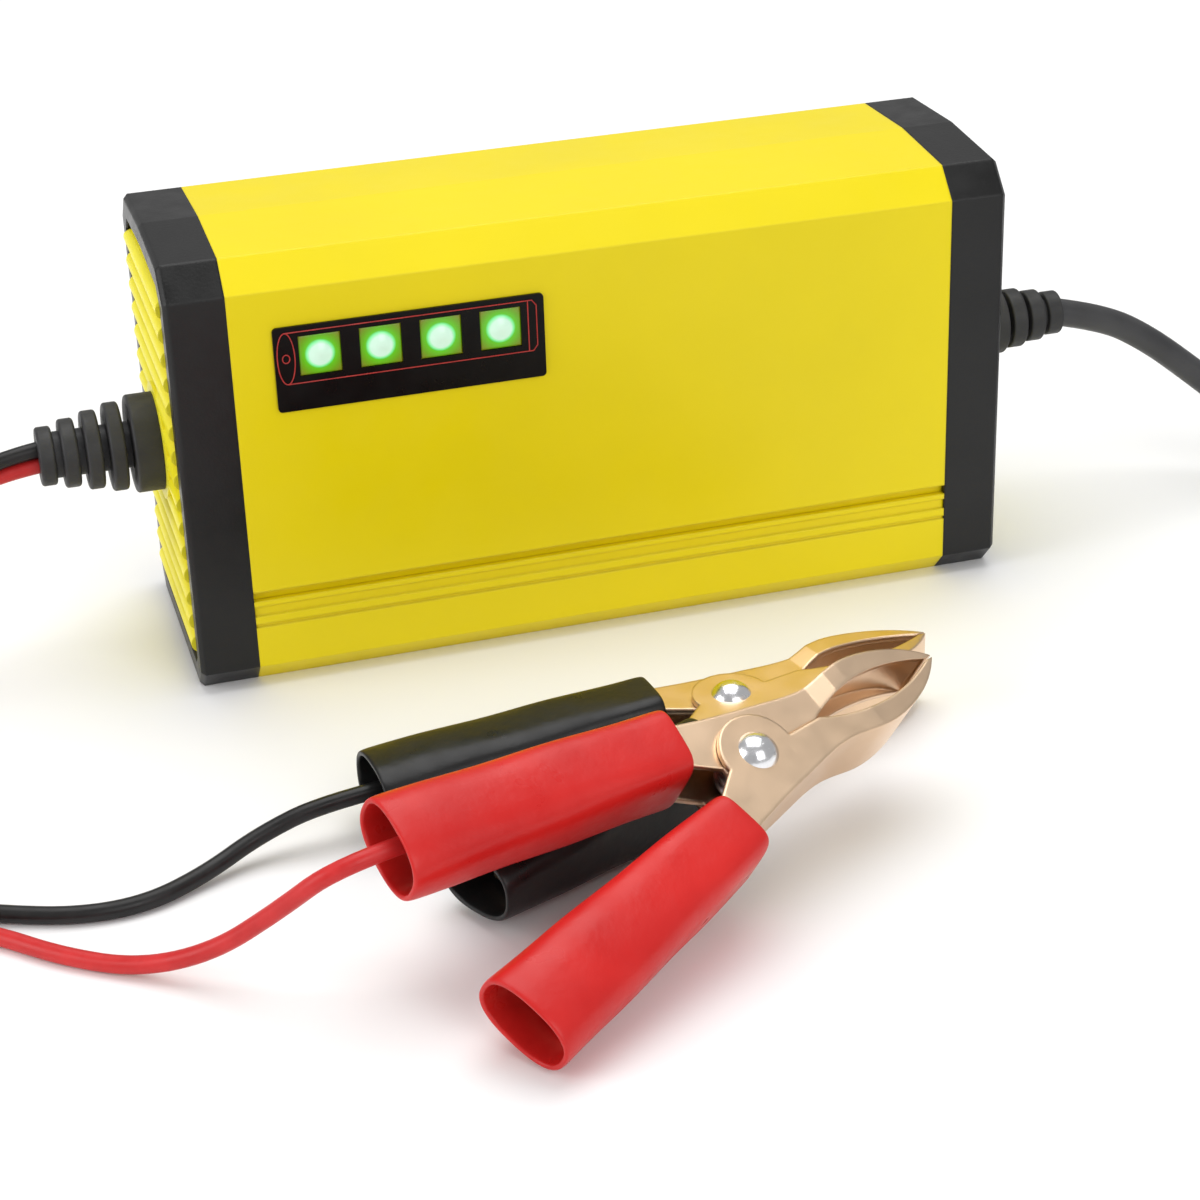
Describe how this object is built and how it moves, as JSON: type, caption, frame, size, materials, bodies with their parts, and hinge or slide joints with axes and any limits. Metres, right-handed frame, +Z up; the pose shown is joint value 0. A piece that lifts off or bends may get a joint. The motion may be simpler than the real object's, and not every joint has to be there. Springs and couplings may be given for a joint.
{
  "type": "car battery charger",
  "caption": "Upright battery charger case with vented ends and a charge display, a mains lead with its plug, and sprung battery clamps on red and black leads.",
  "frame": {"origin": "centre of the case's underside, on the surface that it stands on", "axes": "+X along the case to the mains lead's end, -Y out of the face with the display, +Z up"},
  "size_m": [0.3156, 0.1559, 0.0643],
  "materials": {
    "case_yellow": "satin moulded",
    "frame_black": "satin moulded",
    "boot_rubber": "matte",
    "label_black": "printed film",
    "lens_green": "translucent",
    "led_green": "clear epoxy",
    "board_green": "solder mask",
    "foam_grey": "foam",
    "component_black": "moulded epoxy",
    "capacitor_blue": "dipped",
    "film_yellow": "moulded",
    "bulk_sleeve": "shrink sleeve",
    "ferrite_grey": "sintered",
    "winding_tape": "polyester tape",
    "heatsink_aluminium": "extruded",
    "socket_white": "moulded",
    "lead_inside": "insulated wire",
    "screw_steel": "zinc plated",
    "mains_sheath": "PVC sheath",
    "blade_brass": "stamped",
    "wire_red": "PVC insulation",
    "wire_black": "PVC insulation",
    "clamp_copper": "copper plated",
    "rivet_steel": "nickel plated",
    "spring_steel": "plated wire",
    "sleeve_red": "dipped PVC",
    "sleeve_black": "dipped PVC",
    "crimp_tin": "tinned"
  },
  "bodies": {
    "charger": {"black_fixed_lever": "clamp_copper", "black_rivet": "rivet_steel", "black_spring": "spring_steel", "black_wire_crimp": "crimp_tin", "black_wire_end": "wire_black", "black_wire_sleeve": "sleeve_black", "black_wire_start": "wire_black", "bridge_rectifier": "component_black", "bulk_capacitor": "bulk_sleeve", "case_screws": "screw_steel", "circuit_board": "board_green", "control_chip": "component_black", "display_cable": "socket_white", "display_label": "label_black", "display_lenses": "lens_green", "display_socket": "socket_white", "led_board": "board_green", "led_board_pads": "foam_grey", "left_end_frame": "frame_black", "left_end_panel": "case_yellow", "line_choke": "ferrite_grey", "line_filter_capacitor": "film_yellow", "lower_shell": "case_yellow", "mains_boot": "boot_rubber", "mains_coil": "mains_sheath", "mains_fuse": "component_black", "mains_lead": "mains_sheath", "mains_leads_inside": "lead_inside", "mains_tail": "mains_sheath", "optocoupler": "component_black", "output_boot": "boot_rubber", "output_capacitors": "component_black", "output_coil": "wire_black", "output_diode": "component_black", "output_heatsink": "heatsink_aluminium", "output_leads_inside": "lead_inside", "plug_blades": "blade_brass", "plug_body": "mains_sheath", "plug_relief": "boot_rubber", "primary_heatsink": "heatsink_aluminium", "red_fixed_lever": "clamp_copper", "red_rivet": "rivet_steel", "red_spring": "spring_steel", "red_wire_crimp": "crimp_tin", "red_wire_end": "wire_red", "red_wire_sleeve": "sleeve_red", "red_wire_start": "wire_red", "right_end_frame": "frame_black", "right_end_panel": "case_yellow", "safety_capacitor": "capacitor_blue", "status_leds": "led_green", "surge_varistor": "capacitor_blue", "switching_transistor": "component_black", "transformer_core": "ferrite_grey", "transformer_winding": "winding_tape", "upper_shell": "case_yellow"},
    "red_moving": {"red_moving_lever": "clamp_copper", "red_free_sleeve": "sleeve_red"},
    "black_moving": {"black_moving_lever": "clamp_copper", "black_free_sleeve": "sleeve_black"}
  },
  "joints": [
    {"name": "red_clamp_hinge", "type": "hinge", "parent": "charger", "child": "red_moving", "pos_m": [-0.0025, -0.0865, 0.0144], "axis": [-0.2058, 0.4814, -0.852], "range_deg": [0, 14], "stiffness_Nm_per_rad": 0.12, "springref_deg": -45.84, "deforming": ["red_spring"]},
    {"name": "black_clamp_hinge", "type": "hinge", "parent": "charger", "child": "black_moving", "pos_m": [0.004, -0.062, 0.0063], "axis": [0, 0, -1], "range_deg": [0, 14], "stiffness_Nm_per_rad": 0.12, "springref_deg": -45.84, "deforming": ["black_spring"]}
  ]
}
